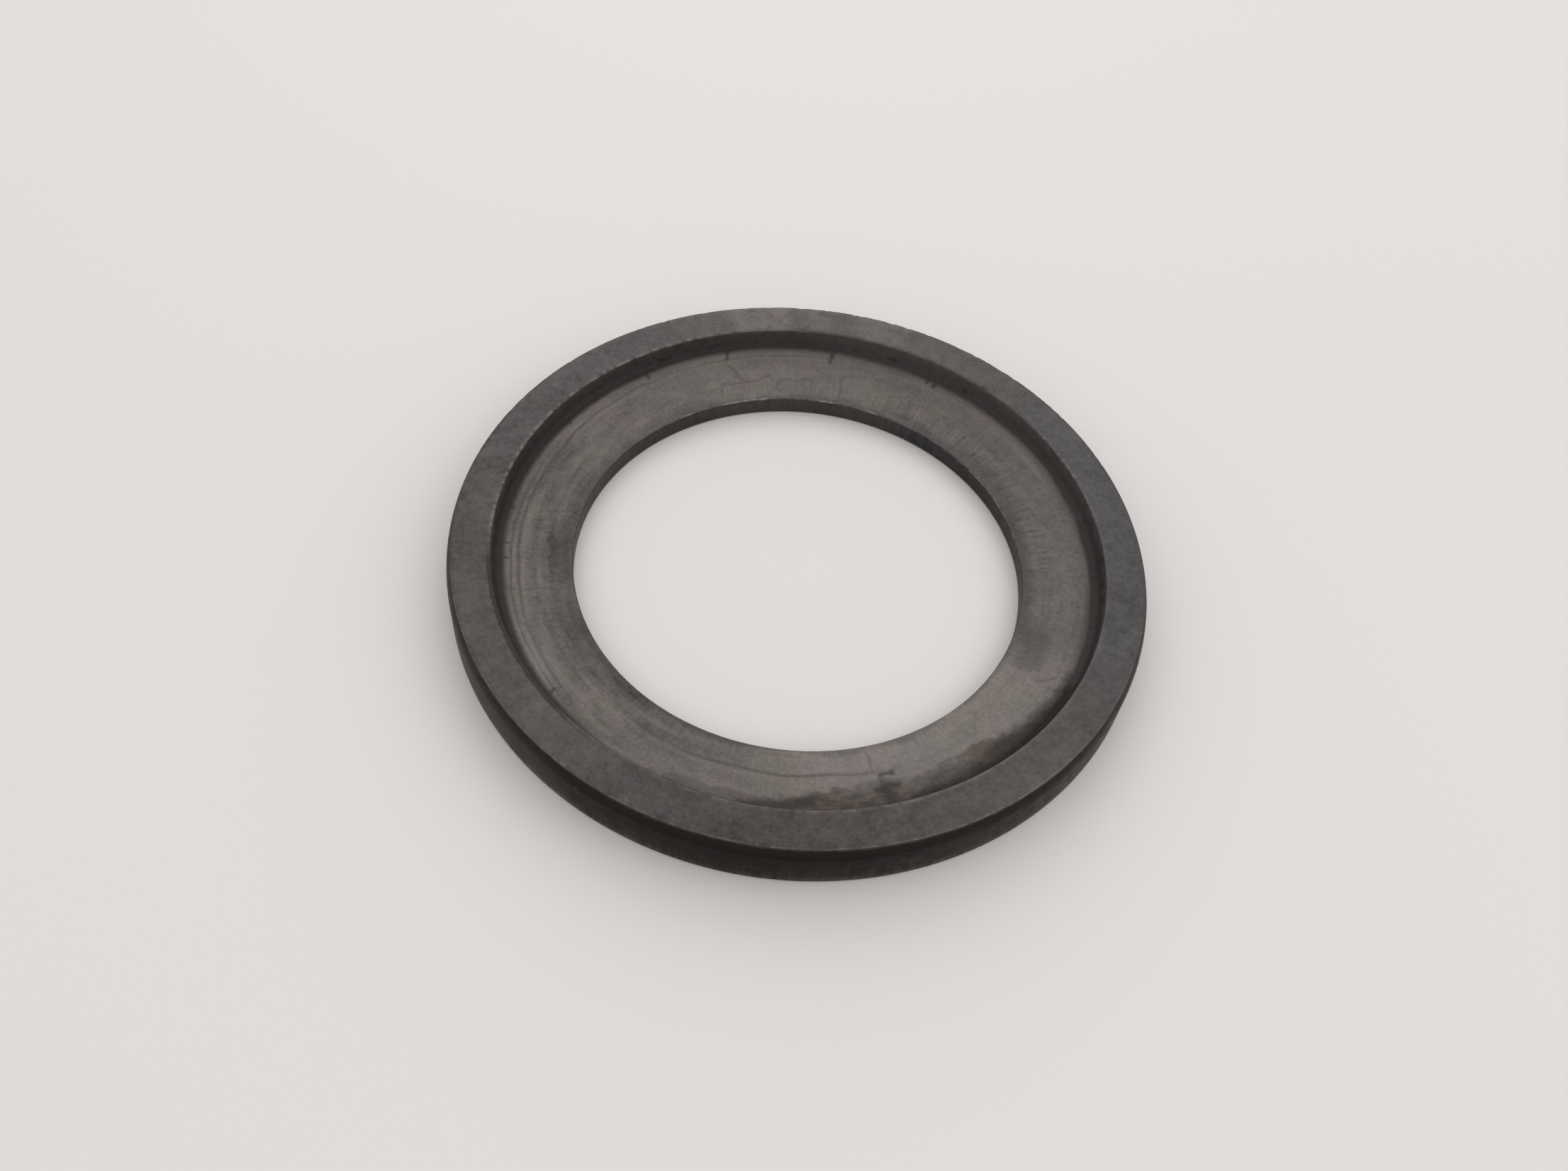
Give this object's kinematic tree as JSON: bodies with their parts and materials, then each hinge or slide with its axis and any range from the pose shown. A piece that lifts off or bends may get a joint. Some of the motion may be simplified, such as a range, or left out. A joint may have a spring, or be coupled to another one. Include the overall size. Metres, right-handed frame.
{
  "type": "recessed washer",
  "caption": "Round steel washer with a large plain bore, a raised outer rim and a shallow conical recess that seats and centres a round mating part.",
  "frame": {"origin": "on the turning axis, in the plane of the bottom face, so the washer lies on z = 0", "axes": "+Z along the turning axis, out of the recessed side; X and Y are any two diameters"},
  "size_m": [0.0762, 0.0762, 0.0057],
  "materials": {
    "dark_steel": "used dark steel, satin, oil-stained, with a near-black outer wall and recess wall"
  },
  "bodies": {
    "root": {"washer_ring": "dark_steel"}
  },
  "joints": []
}
